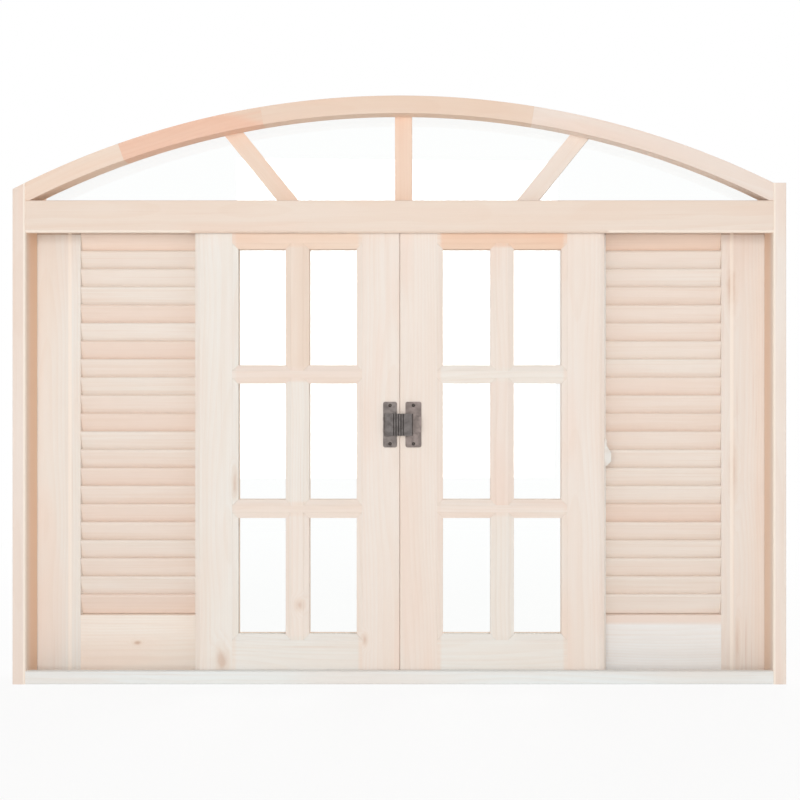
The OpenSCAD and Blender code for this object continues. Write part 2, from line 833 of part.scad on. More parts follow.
// White nylon buffer on the outer edge of the right sash, slimmer at its top
module sash_buffer() {
    color(white_nylon) translate([sash_x1, sash_y + (sash_t - buffer_t) / 2, buffer_z - buffer_h / 2])
        along_y(buffer_t) polygon([
            [0, 0], [buffer_tip, 0], [buffer_reach, buffer_reach - buffer_tip], [buffer_reach, buffer_h / 2],
            [buffer_tip, buffer_h - buffer_tip_h], [buffer_tip, buffer_h], [0, buffer_h]
        ]);
}

sill();
left_jamb();
right_jamb();
transom();
arch_length(arch_stops[0], arch_stops[1], pine_pale);  // arch_left_end
arch_length(arch_stops[1], arch_stops[2], pine_warm);  // arch_left
arch_length(arch_stops[2], arch_stops[3], pine);  // arch_crown
arch_length(arch_stops[3], arch_stops[4], pine_warm);  // arch_right
spoke(-1);  // left_spoke
spoke(0);  // centre_spoke
spoke(1);  // right_spoke
fanlight_pane();
fanlight_arch_bead();
fanlight_base_bead();
sill_track();
sill_filler();
head_filler();
flipped() shutter_outer_stile();  // left_shutter_outer_stile
flipped() shutter_inner_stile();  // left_shutter_inner_stile
flipped() shutter_top_rail();  // left_shutter_top_rail
flipped() shutter_bottom_rail();  // left_shutter_bottom_rail
flipped() shutter_slats();  // left_shutter_slats
shutter_outer_stile();  // right_shutter_outer_stile
shutter_inner_stile();  // right_shutter_inner_stile
shutter_top_rail();  // right_shutter_top_rail
shutter_bottom_rail();  // right_shutter_bottom_rail
shutter_slats();  // right_shutter_slats
flipped() sash_outer_stile();  // left_sash_outer_stile
flipped() sash_meeting_stile(-base_screw_x);  // left_sash_meeting_stile
flipped() sash_top_rail();  // left_sash_top_rail
flipped() sash_bottom_rail();  // left_sash_bottom_rail
flipped() sash_cross_bar(2);  // left_sash_upper_bar
flipped() sash_cross_bar(1);  // left_sash_lower_bar
flipped() sash_upright(2);  // left_sash_top_upright
flipped() sash_upright(1);  // left_sash_middle_upright
flipped() sash_upright(0);  // left_sash_bottom_upright
flipped() sash_panes();  // left_sash_panes
flipped() sash_beads();  // left_sash_beads
flipped() sash_glides();  // left_sash_glides
sash_outer_stile();  // right_sash_outer_stile
sash_meeting_stile(keeper_screw_x);  // right_sash_meeting_stile
sash_top_rail();  // right_sash_top_rail
sash_bottom_rail();  // right_sash_bottom_rail
sash_cross_bar(2);  // right_sash_upper_bar
sash_cross_bar(1);  // right_sash_lower_bar
sash_upright(2);  // right_sash_top_upright
sash_upright(1);  // right_sash_middle_upright
sash_upright(0);  // right_sash_bottom_upright
sash_panes();  // right_sash_panes
sash_beads();  // right_sash_beads
sash_glides();  // right_sash_glides
latch_base();
latch_bolt();
latch_keeper();
latch_screws(base_screw_x);  // latch_base_screws
latch_screws(keeper_screw_x);  // latch_keeper_screws
sash_buffer();
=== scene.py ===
# %% [markdown]
# # Dressing an arched pine window
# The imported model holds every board, pane and fitting of the window at its real size, in metres, with the
# front towards -Y and the sill on z = 0. What it lacks is a surface. This lesson gives each board its own
# pine, each pane its glass and each fitting its metal, then sets up a plain studio around them. The boards
# keep their solids: a joiner's window is straight boards, and what tells one from the next is the wood.

# %% Load the frame
import math

import bpy
import numpy as np
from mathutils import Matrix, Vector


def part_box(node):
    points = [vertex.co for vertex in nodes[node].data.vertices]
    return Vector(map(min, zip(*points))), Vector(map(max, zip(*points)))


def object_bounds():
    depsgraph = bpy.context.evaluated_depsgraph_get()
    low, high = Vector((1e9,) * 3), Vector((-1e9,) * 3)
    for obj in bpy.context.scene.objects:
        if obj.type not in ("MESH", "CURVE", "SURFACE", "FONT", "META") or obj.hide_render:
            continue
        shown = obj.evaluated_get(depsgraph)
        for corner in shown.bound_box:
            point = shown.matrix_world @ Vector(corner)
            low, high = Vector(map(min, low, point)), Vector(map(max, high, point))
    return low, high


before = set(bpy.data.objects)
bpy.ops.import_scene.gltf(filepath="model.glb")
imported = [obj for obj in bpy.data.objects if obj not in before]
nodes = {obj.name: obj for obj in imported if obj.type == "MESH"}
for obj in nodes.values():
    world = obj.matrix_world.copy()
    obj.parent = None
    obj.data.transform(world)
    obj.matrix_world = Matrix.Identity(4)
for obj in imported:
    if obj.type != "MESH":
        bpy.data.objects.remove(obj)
cad_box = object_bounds()
print("solids to dress:", len(nodes), "in box", [tuple(round(v, 3) for v in corner) for corner in cad_box])

# %% [markdown]
# ## Colours
# A colour is easiest to judge on a paint chart, as three numbers up to 255. Shaders count light instead, so
# each chart colour is turned into linear light once, here, and every finish below asks for chart colours.

# %% Chart colours
CHART_TOP = 255
TOE, TOE_SLOPE = 0.04045, 12.92
CURVE_OFFSET, CURVE_POWER = 0.055, 2.4


def chart(red, green, blue):
    """A chart colour as linear light: a straight line below the toe, a power curve above it."""
    share = np.array([red, green, blue]) / CHART_TOP
    curve = ((share + CURVE_OFFSET) / (1 + CURVE_OFFSET)) ** CURVE_POWER
    linear = np.where(share <= TOE, share / TOE_SLOPE, curve)
    return (*linear.tolist(), 1.0)


print("white on the chart is", chart(255, 255, 255))

# %% [markdown]
# ## Writing shaders as sums
# Node trees are pleasant to look at and tedious to wire. Two small classes let the rest of the lesson write
# them as Python. The first, `Signal`, is one socket: adding or multiplying signals adds Math nodes.


# %% Signal
class Signal:
    """One output socket. Sums with it add Math nodes to its finish."""

    def __init__(self, finish, socket):
        self.finish = finish
        self.socket = socket

    def maths(self, operation, *values):
        return self.finish.node("ShaderNodeMath", {"operation": operation}, dict(enumerate(values)))

    def __add__(self, other):
        return self.maths("ADD", self, other)

    def __sub__(self, other):
        return self.maths("SUBTRACT", self, other)

    def __rsub__(self, other):
        return self.maths("SUBTRACT", other, self)

    def __mul__(self, other):
        return self.maths("MULTIPLY", self, other)

    def __truediv__(self, other):
        return self.maths("DIVIDE", self, other)

    def __pow__(self, power):
        return self.maths("POWER", self, power)

    def __abs__(self):
        return self.maths("ABSOLUTE", self)

    __radd__ = __add__
    __rmul__ = __mul__

    def step(self, low, high):
        """A smooth rise from 0 at low to 1 at high."""
        sockets = {"Value": self, "From Min": low, "From Max": high}
        return self.finish.node("ShaderNodeMapRange", {"interpolation_type": "SMOOTHSTEP"}, sockets)


print("signals add up as Math nodes")

# %% [markdown]
# ## One finish, one tree
# The second class, `Finish`, is one material. Its `node` method adds any node, with its settings first and
# its sockets after, and the other methods are the groups of nodes that most finishes share. Its edge method
# compares the normal of a slightly rounded surface with the true one: they differ only at an edge, where
# hands and sandpaper have been, and where pine also gets a painted highlight.

# %% Finish
EDGE_SAMPLES, EDGE_TURN = 4, 0.25


class Finish:
    """One material and the nodes that paint it."""

    def __init__(self, name, owner=None):
        self.owner = owner or bpy.data.materials.new(name)
        self.owner.use_nodes = True
        self.tree = self.owner.node_tree
        self.tree.nodes.clear()

    def node(self, kind, settings=None, sockets=None, output=0):
        """Adds a node, sets its settings, fills or links its sockets and returns one output."""
        made = self.tree.nodes.new(kind)
        for name, setting in (settings or {}).items():
            setattr(made, name, setting)
        for name, value in (sockets or {}).items():
            if isinstance(value, Signal):
                self.tree.links.new(value.socket, made.inputs[name])
            else:
                made.inputs[name].default_value = value
        return Signal(self, made.outputs[output]) if made.outputs else None

    def place(self):
        """The point being painted, as three signals in metres."""
        point = self.node("ShaderNodeTexCoord", output="Object")
        return [self.node("ShaderNodeSeparateXYZ", {}, {0: point}, axis) for axis in range(3)]

    def vector(self, x, y, z):
        return self.node("ShaderNodeCombineXYZ", {}, {0: x, 1: y, 2: z})

    def noise(self, point, scale=1.0, detail=2.0, roughness=0.5):
        """Cloudy noise about 0.5, at a point given as a vector signal."""
        sockets = {"Vector": point, "Scale": scale, "Detail": detail, "Roughness": roughness}
        return self.node("ShaderNodeTexNoise", {}, sockets)

    def mix(self, share, first, second):
        """Colour between first and second; share 0 gives first."""
        return self.node("ShaderNodeMix", {"data_type": "RGBA"}, {0: share, 6: first, 7: second}, 2)

    def edge_wear_and_highlight(self, radius):
        """A rounded normal near edges, and a mask that is 1 on a sharp edge and 0 on a flat."""
        soft = self.node("ShaderNodeBevel", {"samples": EDGE_SAMPLES}, {"Radius": radius})
        flat = self.node("ShaderNodeNewGeometry", output="Normal")
        alike = self.node("ShaderNodeVectorMath", {"operation": "DOT_PRODUCT"}, {0: soft, 1: flat}, "Value")
        return soft, (1 - alike).step(0.0, EDGE_TURN)

    def bump(self, height, depth, normal):
        sockets = {"Height": height, "Distance": depth, "Strength": 1.0, "Normal": normal}
        return self.node("ShaderNodeBump", {}, sockets)

    def principled(self, **sockets):
        """A Principled surface, its sockets named with _ for a space."""
        names = {name.replace("_", " "): value for name, value in sockets.items()}
        return self.node("ShaderNodeBsdfPrincipled", {}, names)

    def done(self, shader):
        """Ends the tree in this shader and gives back the material."""
        self.node("ShaderNodeOutputMaterial", {}, {"Surface": shader})
        return self.owner

    def surface(self, **sockets):
        return self.done(self.principled(**sockets))

    def rays(self, *kinds):
        """1 for rays of any of the named kinds, such as Camera or Shadow."""
        total = 0.0
        for kind in kinds:
            total = total + self.node("ShaderNodeLightPath", output=f"Is {kind} Ray")
        return total.step(0.0, 1.0)


print("finishes ready")

# %% [markdown]
# ## Putting a finish on
# A solid comes out of the pack with a plain material. Dressing it swaps that for a finish and leaves its mesh
# as it is, so the dressed window keeps the size of the solids.


# %% Dress
def dress(names, material):
    """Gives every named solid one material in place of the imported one."""
    for name in names:
        slots = nodes[name].data.materials
        slots.clear()
        slots.append(material)


print("ready to dress")

# %% [markdown]
# ## The tints of the boards
# The window is bare, sanded pine, and such a window is never one tint: each board comes from another tree, or
# from another side of it. The tints run from a chalky white to a warm amber, and each board is listed under
# its own. Boards that share a tint still differ, because each is cut from another stretch of grain.

# %% Tints of the boards
TINTS = {
    "chalk": (239, 238, 234),
    "snow": (246, 241, 236),
    "milk": (249, 235, 222),
    "ivory": (254, 247, 239),
    "shell": (251, 228, 212),
    "stone": (238, 230, 221),
    "pale": (240, 230, 220),
    "cream": (241, 226, 214),
    "linen": (239, 226, 215),
    "rose": (240, 222, 209),
    "biscuit": (238, 218, 202),
    "tan": (241, 217, 198),
    "wheat": (236, 210, 190),
    "apricot": (243, 212, 190),
    "honey": (239, 206, 182),
    "amber": (240, 197, 173),
}
BOARD_TINTS = {
    "chalk": ["sill"],
    "snow": ["right_shutter_bottom_rail"],
    "milk": ["left_shutter_bottom_rail"],
    "ivory": ["left_shutter_inner_stile", "right_shutter_inner_stile"],
    "shell": ["left_shutter_top_rail", "right_shutter_top_rail"],
    "stone": ["left_sash_bottom_rail", "right_sash_bottom_rail"],
    "pale": [
        "left_sash_outer_stile", "right_sash_upper_bar", "left_sash_middle_upright",
        "right_sash_bottom_upright", "left_shutter_outer_stile",
    ],
    "cream": [
        "left_sash_meeting_stile", "right_sash_meeting_stile", "right_sash_outer_stile", "right_jamb",
        "left_sash_bottom_upright", "right_sash_lower_bar", "left_sash_lower_bar", "right_sash_top_upright",
        "right_spoke",
    ],
    "linen": ["right_shutter_outer_stile"],
    "rose": [
        "left_jamb", "arch_right", "left_sash_upper_bar",
        "right_sash_middle_upright", "sill_filler", "head_filler",
    ],
    "biscuit": ["transom", "left_sash_top_upright"],
    "tan": [
        "left_sash_top_rail", "left_spoke", "arch_left_end", "fanlight_arch_bead", "fanlight_base_bead",
        "left_sash_beads", "right_sash_beads",
    ],
    "wheat": ["arch_crown"],
    "apricot": ["centre_spoke"],
    "honey": ["right_sash_top_rail"],
    "amber": ["arch_left"],
}
TINT_OF = {name: TINTS[tint] for tint, names in BOARD_TINTS.items() for name in names}
print("boards:", len(TINT_OF), "tints:", len(TINTS))

# %% [markdown]
# ## Which way the grain runs
# Grain runs along a board. Rails lie along X, stiles and jambs stand along Z, a leaning spoke follows its own
# slope and the lengths of the arch are sawn to the curve, so there the grain is taken round the arch's axis.
# Each rule turns a place in the window into a place in the board: along, across and into it.

# %% Grain rules
RAIL_WORDS = ("rail", "sill", "transom", "_bar", "filler", "base_bead")
SPOKE_LEAN = math.radians(39)
arch_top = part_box("arch_crown")[1].z
spring_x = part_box("transom")[1].x
spring_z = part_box("right_jamb")[1].z
arch_rise = arch_top - spring_z
arch_radius = (spring_x**2 + arch_rise**2) / (2 * arch_rise)
arch_axis_z = arch_top - arch_radius


def is_arch(name):
    return name.startswith("arch_") or name == "fanlight_arch_bead"


def is_rail(name):
    return any(word in name for word in RAIL_WORDS)


def grain_frame(finish, name):
    """Along, across and into the board, as signals in metres."""
    x, y, z = finish.place()
    if is_arch(name):
        up = z - arch_axis_z
        radius = (x * x + up * up) ** 0.5
        turn = finish.node("ShaderNodeMath", {"operation": "ARCTAN2"}, {0: x, 1: up})
        return turn * arch_radius, radius, y
    if name in ("left_spoke", "right_spoke"):
        lean = SPOKE_LEAN if name == "right_spoke" else -SPOKE_LEAN
        return x * math.sin(lean) + z * math.cos(lean), x * math.cos(lean) - z * math.sin(lean), y
    if is_rail(name):
        return x, z, y
    return z, x, y


print("arch radius", round(arch_radius, 3), "about z", round(arch_axis_z, 3))

# %% [markdown]
# ## A board on the bench
# All boards are painted by the same rules. What differs from one to the next is gathered here: where its
# grain lies, how far its face was from the heart of the trunk, which stretch of noise it is cut from, and the
# shades of its tint. Late wood is the darker end of a year's growth, blush the warm heartwood, pale the sap.

# %% Board
NOISE_REACH = 40
HEART_SIDE, HEART_DEPTH = 0.05, (0.03, 0.07)
LATE_SHADE = (0.965, 0.93, 0.90)
BLUSH_SHADE = (1.008, 0.96, 0.94)
PALE_SHADE, PALEST = (1.005, 1.025, 1.04), 252


class Board:
    """One board: its finish, its places, the shades of its wood and its own stretch of noise."""

    def __init__(self, name, tint, seed):
        dice = np.random.default_rng(seed)
        self.name = name
        self.finish = Finish("pine_" + name)
        self.grain = grain_frame(self.finish, name)
        self.place = self.finish.place()
        self.shift = dice.uniform(-NOISE_REACH, NOISE_REACH, 3)
        self.heart_side = dice.uniform(-HEART_SIDE, HEART_SIDE)
        self.heart_depth = dice.uniform(*HEART_DEPTH)
        self.low, self.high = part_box(name)
        self.middle = (self.low + self.high) / 2
        self.centre = self.middle.z if is_rail(name) else self.middle.x
        if is_arch(name):
            self.centre = arch_radius
        body = np.array(tint)
        self.plain = chart(*tint)
        self.late_wood = chart(*(body * LATE_SHADE))
        self.blush_wood = chart(*(body * BLUSH_SHADE))
        self.pale_wood = chart(*np.minimum(body * PALE_SHADE, PALEST))

    def cloud(self, lengthways, crossways, detail=2.0):
        """Noise stretched along the grain, in cells per metre along and across it."""
        cells = (lengthways, crossways, crossways)
        point = [place * cell + shift for place, cell, shift in zip(self.grain, cells, self.shift)]
        return self.finish.noise(self.finish.vector(*point), detail=detail)


print("bench ready; hearts lie", HEART_DEPTH, "m behind the boards")

# %% [markdown]
# ## Knots
# A knot is where a branch left the trunk. Few show on this window, so they are listed by board, each with its
# place on the front face, its half width and half height, and how strongly it shows. The rings bulge round it
# and its wood is browner. A faint long one is a knot that the saw only grazed, which leaves a warm streak.

# %% Knots
KNOTS = {
    "left_sash_outer_stile": [(-0.347, 0.042, 0.013, 0.024, 0.5), (-0.322, 0.387, 0.005, 0.026, 0.45)],
    "left_sash_meeting_stile": [(-0.068, 0.083, 0.006, 0.010, 0.4)],
    "left_sash_bottom_upright": [(-0.195, 0.151, 0.008, 0.010, 0.4)],
    "left_shutter_bottom_rail": [(-0.526, 0.066, 0.008, 0.004, 0.6)],
    "right_shutter_outer_stile": [
        (0.659, 0.776, 0.008, 0.040, 0.55),
        (0.663, 0.411, 0.007, 0.052, 0.3),
        (0.671, 0.066, 0.004, 0.040, 0.3),
    ],
}
RING_GAP = 0.0042
RAG_CELLS, RAG = (60, 90), 0.8
PUSH_FALL, PUSH = (0.2, 3.0), 2.5 * RING_GAP
CORE_FALL = (0.2, 1.2)
RIM_RISE, RIM_FALL = (0.5, 1.0), (1.0, 1.9)


def knots(board):
    """How far a board's knots push its rings out, and masks of their cores and rims."""
    x, _, z = board.place
    push, core, rim = 0.0, 0.0, 0.0
    for knot_x, knot_z, half_w, half_h, strength in KNOTS.get(board.name, []):
        reach = (((x - knot_x) / half_w) ** 2 + ((z - knot_z) / half_h) ** 2) ** 0.5
        reach = reach + (board.cloud(*RAG_CELLS) - 0.5) * RAG
        push = push + (1 - reach.step(*PUSH_FALL)) * PUSH
        core = core + (1 - reach.step(*CORE_FALL)) * strength
        rim = rim + reach.step(*RIM_RISE) * (1 - reach.step(*RIM_FALL))
    return push, core, rim


print("knots:", sum(map(len, KNOTS.values())))

# %% [markdown]
# ## Rings
# A plank of pine is a slice of a trunk, so its figure is best taken from the trunk: rings around a heart line
# that runs along the grain, cut by the plank's faces. One field of distance from that line then gives
# straight lines on an edge, flames on a face and arcs on an end, with no painting. The line wanders a little
# and the trunk tapers, which is what bends the flames.

# %% Rings
WANDER_CELLS, WANDER = (1.6, 5.0), 0.03
TAPER = 0.006
LATE_RISE, LATE_FALL = (0.25, 0.9), (0.92, 1.0)


def late_rings(board, push):
    """1 in the dark late wood that ends each year's ring, 0 in the pale wood before it."""
    along, across, into = board.grain
    side = across - (board.centre + board.heart_side)
    back = into - (board.middle.y + board.heart_depth)
    wander = (board.cloud(*WANDER_CELLS) - 0.5) * WANDER
    radius = (side * side + back * back) ** 0.5 + wander + along * TAPER + push
    ring = board.finish.node("ShaderNodeMath", {"operation": "FRACT"}, {0: radius / RING_GAP})
    return ring.step(*LATE_RISE) * (1 - ring.step(*LATE_FALL))


print("rings", RING_GAP * 1000, "mm apart")

# %% [markdown]
# ## Where boards meet
# The sash bars are coped: the moulded edge of one is cut to ride over the edge of the next. Sanded together,
# the joints hardly show on the real sash, so past its shoulder each bar takes the tint of the board it runs
# into. Two boards change tint within themselves: the second length of the arch ends in a slanting glued
# joint, and one shutter rail is primed white but for a strip under its top edge.

# %% Where boards meet
SHOULDER = 0.008
STILES = ("outer_stile", "meeting_stile")
CROSS_PIECES = ("top_rail", "bottom_rail", "upper_bar", "lower_bar")
UPRIGHT_ENDS = {
    "top_upright": ("top_rail", "upper_bar"),
    "middle_upright": ("upper_bar", "lower_bar"),
    "bottom_upright": ("lower_bar", "bottom_rail"),
}
SCARF_SLOPE, SCARF_SPAN = 2.4, (-0.36, -0.315)
UNPRIMED, UNPRIMED_STRIP = chart(244, 226, 214), (0.012, 0.022)


def blended_ends(board, colour):
    """The colour of a sash rail or bar, running into its neighbours' tints past its shoulders."""
    side, _, piece = board.name.partition("_sash_")
    if piece in UPRIGHT_ENDS:
        axis, ends = 2, UPRIGHT_ENDS[piece]
    elif piece in CROSS_PIECES:
        axis, ends = 0, STILES
    else:
        return colour
    for neighbour in [f"{side}_sash_{end}" for end in ends]:
        edges = [corner[axis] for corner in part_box(neighbour)]
        near, far = sorted(edges, key=lambda edge: abs(edge - board.middle[axis]))
        past = board.place[axis] - near if far > near else near - board.place[axis]
        colour = board.finish.mix(past.step(0.0, SHOULDER), colour, chart(*TINT_OF[neighbour]))
    return colour


def changed_ends(board, colour):
    """The slanting end of the arch's second length, and the strip that the primer leaves bare."""
    x, _, z = board.place
    if board.name == "arch_left":
        scarf = (x + (board.grain[1] - arch_radius) * SCARF_SLOPE).step(*SCARF_SPAN)
        colour = board.finish.mix(scarf, colour, chart(*TINT_OF["arch_crown"]))
    if board.name == "right_shutter_bottom_rail":
        primed = (board.high.z - z).step(*UNPRIMED_STRIP)
        colour = board.finish.mix(1 - primed, colour, UNPRIMED)
    return colour


print("joints blended over", SHOULDER * 1000, "mm")

# %% [markdown]
# ## Figure
# Over the tint lie the marks that grain leaves: broad pale patches, warm blushes, darker bands, the rings,
# streaks of resin and the finest fibres, and with them pale streaks as a painted silky sheen. All but the
# rings are clouds of noise drawn out along the board. Each cloud is listed with its cells per metre along and
# across, the levels between which it rises, and how much of it shows. One stile has reddish streaks that show
# more than the rest.

# %% Figure
LAYERS = {
    "patch": ((2.2, 11), (0.35, 0.68), 0.8),
    "blush": ((3.1, 17, 1.0), (0.48, 0.72), 0.4),
    "band": ((0.9, 75), (0.45, 0.75), 0.2),
    "streak": ((3.5, 150), (0.62, 0.80), 0.12),
    "red_streak": ((3.5, 150), (0.62, 0.80), 0.42),
    # painted sheen: pale streaks drawn along the grain
    "painted_sheen": ((1.3, 210), (0.55, 0.78), 0.45),
}
RESIN, REDDISH = chart(214, 172, 142), chart(208, 170, 150)
RED_STREAKED = "right_shutter_outer_stile"
LATE_SHARE, FIBRE_SHARE, FIBRE_BASE = 0.18, 0.3, 0.05
RIM_SHARE, KNOT_BROWN = 0.35, chart(200, 156, 124)


def layer(board, kind):
    """How much of one kind of mark shows at each point of a board."""
    cells, rise, share = LAYERS[kind]
    return board.cloud(*cells).step(*rise) * share


def figured(board, late, fibre, knot_core, knot_rim):
    """The colour of a board as the plane leaves it."""
    mix = board.finish.mix
    colour = mix(layer(board, "patch"), board.pale_wood, board.plain)
    colour = changed_ends(board, blended_ends(board, colour))
    colour = mix(layer(board, "blush"), colour, board.blush_wood)
    colour = mix(layer(board, "band"), colour, board.late_wood)
    colour = mix(late * LATE_SHARE, colour, board.late_wood)
    if board.name == RED_STREAKED:
        colour = mix(layer(board, "red_streak"), colour, REDDISH)
    else:
        colour = mix(layer(board, "streak"), colour, RESIN)
    # painted sheen: pale streaks along the grain
    colour = mix(layer(board, "painted_sheen"), colour, board.pale_wood)
    colour = mix((fibre - 0.5) * FIBRE_SHARE + FIBRE_BASE, colour, board.late_wood)
    if board.name in KNOTS:
        colour = mix(knot_rim * RIM_SHARE, colour, board.late_wood)
        colour = mix(knot_core, colour, KNOT_BROWN)
    return colour


print("kinds of mark:", ", ".join(LAYERS))

# %% [markdown]
# ## Painted shade and highlights
# Three marks of light and shade are painted into the colour of a board, each by place. The jambs' inner faces
# turn warmer and darker from the front into the reveal: painted shade of the recess. The shutters turn dark
# brown where they go up behind the head: painted shadow under the head. And a pale line runs along the front
# arris of the jambs and of the head beside the sashes, and along the bevel of the shutters' outer stiles: a
# painted highlight.

# %% Painted shade and highlights
# painted shade of the jambs' reveals: how much of it each jamb gets, and its warm colour
REVEAL_SHADE_SHARE, REVEAL_SHADE = {"left_jamb": 0.9, "right_jamb": 0.6}, chart(244, 205, 174)
REVEAL_SKIN, REVEAL_FRONT, REVEAL_BACK = 0.006, (0.002, 0.035), (0.004, 0.016)
# painted shadow under the head on the shutters: its colour, share and rise
HEAD_SHADOW, HEAD_SHADOW_SHARE, HEAD_SHADOW_RISE = chart(178, 146, 122), 0.65, (0.0035, 0.006)
# painted highlight along the arrises: its colour and width
ARRIS_HIGHLIGHT, ARRIS_WIDTH = chart(253, 240, 227), 0.005
BEVEL_WIDTH, BEVEL_SHARE = 0.020, 0.7
SASH_END_FADE = 0.01
sash_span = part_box("right_sash_outer_stile")[1].x
head_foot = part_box("transom")[0].z
front_y, back_y = cad_box[0][1], cad_box[1][1]


def painted_arris_highlight(board):
    """1 on the painted highlight along the front arris of a frame board or the bevel of a shutter, 0 away
    from it.
    """
    x, y, z = board.place
    front = 1 - (y - front_y).step(ARRIS_WIDTH, 2 * ARRIS_WIDTH)
    if board.name in REVEAL_SHADE_SHARE:
        return (1 - (abs(x) - spring_x).step(0.5 * ARRIS_WIDTH, ARRIS_WIDTH)) * front
    if board.name == "transom":
        low_edge = 1 - (z - head_foot).step(0.5 * ARRIS_WIDTH, ARRIS_WIDTH)
        return low_edge * front * abs(x).step(sash_span, sash_span + SASH_END_FADE)
    if board.name in ("left_shutter_outer_stile", "right_shutter_outer_stile"):
        bevel = min(abs(board.low.x), abs(board.high.x)) + BEVEL_WIDTH
        return (1 - abs(abs(x) - bevel).step(0.3 * ARRIS_WIDTH, ARRIS_WIDTH)) * BEVEL_SHARE
    return None


def painted_shade(board, colour):
    """The colour of a board with painted shade: warmer and darker into a jamb's reveal, dark brown where a
    shutter goes up behind the head.
    """
    x, y, z = board.place
    if board.name in REVEAL_SHADE_SHARE:
        # painted shade: the jambs' inner faces turn warmer and darker from the front into the reveal
        inward = 1 - abs(x).step(spring_x, spring_x + REVEAL_SKIN)
        reveal_shade_mask = (y - front_y).step(*REVEAL_FRONT) * (back_y - y).step(*REVEAL_BACK) * inward
        colour = board.finish.mix(reveal_shade_mask * REVEAL_SHADE_SHARE[board.name], colour, REVEAL_SHADE)
    if "_shutter_" in board.name:
        # painted shadow: dark brown on the shutters where they go up behind the head
        colour = board.finish.mix((z - head_foot).step(*HEAD_SHADOW_RISE) * HEAD_SHADOW_SHARE, colour, HEAD_SHADOW)
    return colour


print("the head's foot is at z", round(head_foot, 3), "and the sashes end at x", round(sash_span, 3))

# %% [markdown]
# ## Pine
# Now a board can be made up: its figure, then its painted shade, then its paler edges, part sanded wear and
# part painted highlight, and last the painted highlight along its arris. Fibres and late wood also stand a
# little proud, since sandpaper bites the soft early wood more, so both feed the bump, and the hard late wood
# is a little smoother. The seed is the board's number, so each run gives the same wood.

# %% Pine
FIBRE_CELLS = (22, 620, 3.0)
ARRIS, ARRIS_SHARE = 0.0005, 0.5
PINE_ROUGH, LATE_SMOOTH, FIBRE_ROUGH = 0.70, 0.10, 0.16
FIBRE_HEIGHT, RING_HEIGHT, GRAIN_DEPTH = 0.6, 0.4, 0.00018
PINE_SHEEN = 0.3


def pine(name, tint, seed):
    """Pine for one board: rings about a heart line behind its face, the marks of grain, painted shade, then
    wear and painted highlights.
    """
    board = Board(name, tint, seed)
    finish = board.finish
    push, knot_core, knot_rim = knots(board)
    late = late_rings(board, push)
    fibre = board.cloud(*FIBRE_CELLS)
    colour = painted_shade(board, figured(board, late, fibre, knot_core, knot_rim))
    soft, edge = finish.edge_wear_and_highlight(ARRIS)
    # paler edges: part sanded wear, part painted highlight
    colour = finish.mix(edge * ARRIS_SHARE, colour, board.pale_wood)
    # painted highlight: a pale line on the front arris of the jambs and head and on the shutters' bevels
    arris_highlight = painted_arris_highlight(board)
    if arris_highlight:
        colour = finish.mix(arris_highlight, colour, ARRIS_HIGHLIGHT)
    return finish.surface(
        Base_Color=colour,
        Roughness=PINE_ROUGH - late * LATE_SMOOTH + (fibre - 0.5) * FIBRE_ROUGH,
        Specular_IOR_Level=PINE_SHEEN,
        Normal=finish.bump(fibre * FIBRE_HEIGHT + late * RING_HEIGHT, GRAIN_DEPTH, soft),
    )


for seed, (name, tint) in enumerate(TINT_OF.items()):
    dress([name], pine(name, tint, seed))
print("pine boards dressed:", len(TINT_OF))

# %% [markdown]
# ## The slats
# Twenty-one slats fill each shutter, cut from whatever boards were at hand, so their tints jump from one to
# the next. All of a shutter's slats are one solid group in the frame. To colour them one by one, each point
# is measured square to the slats' slope: there the slats lie apart from each other, so that distance,
# rounded, is the slat's number, and white noise of the number picks its tint. The top slat has a tint of its
# own in each shutter.

# %% Slats
SLAT_COUNT = 21
SLAT_LEAN = math.radians(22)
SLAT_WIDTH, SLAT_THICK = 0.044, 0.009
TOP_SLATS = {"left_shutter_slats": (253, 234, 220), "right_shutter_slats": (247, 223, 206)}
TOP_NUMBER = (SLAT_COUNT - 1.6, SLAT_COUNT - 1.4)
SLAT_TINTS = [
    (0.0, (243, 234, 225)), (0.3, (242, 231, 221)), (0.55, (242, 228, 217)), (0.8, (241, 222, 209)),
    (1.0, (242, 234, 225)),
]


def slat_numbers(finish, name):
    """The number of the slat at each point, from 0 for the lowest."""
    low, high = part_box(name)
    _, y, z = finish.place()
    slat_rise = (SLAT_WIDTH - SLAT_THICK) * math.cos(SLAT_LEAN) + SLAT_THICK
    step = (high.z - low.z - slat_rise) / (SLAT_COUNT - 1)
    first_z, middle_y = low.z + slat_rise / 2, (low.y + high.y) / 2
    square = (y - middle_y) * math.cos(SLAT_LEAN) + (z - first_z) * math.sin(SLAT_LEAN)
    steps = square / (step * math.sin(SLAT_LEAN))
    return finish.node("ShaderNodeMath", {"operation": "ROUND"}, {0: steps})


def lottery(finish, ticket):
    """A number from 0 to 1 that is the same for the same ticket."""
    return finish.node("ShaderNodeTexWhiteNoise", {"noise_dimensions": "1D"}, {"W": ticket}, "Value")


def slat_tint(finish, name, number, seed):
    """The tint of each slat, picked by white noise of its number, with the top one as listed."""
    pick = lottery(finish, number + seed)
    colour = chart(*SLAT_TINTS[0][1])
    for (start, _), (stop, tint) in zip(SLAT_TINTS, SLAT_TINTS[1:]):
        colour = finish.mix(pick.step(start, stop), colour, chart(*tint))
    return finish.mix(number.step(*TOP_NUMBER), colour, chart(*TOP_SLATS[name]))


print("slats in each shutter:", SLAT_COUNT, "leaning", round(math.degrees(SLAT_LEAN)), "degrees")

# %% [markdown]
# ## Slat wood
# A slat is too thin to show flames: its rings are long faint lines, and noise drawn out along X is enough.
# Each slat takes its own stretch of that noise, or the lines would run on from one slat to the next.

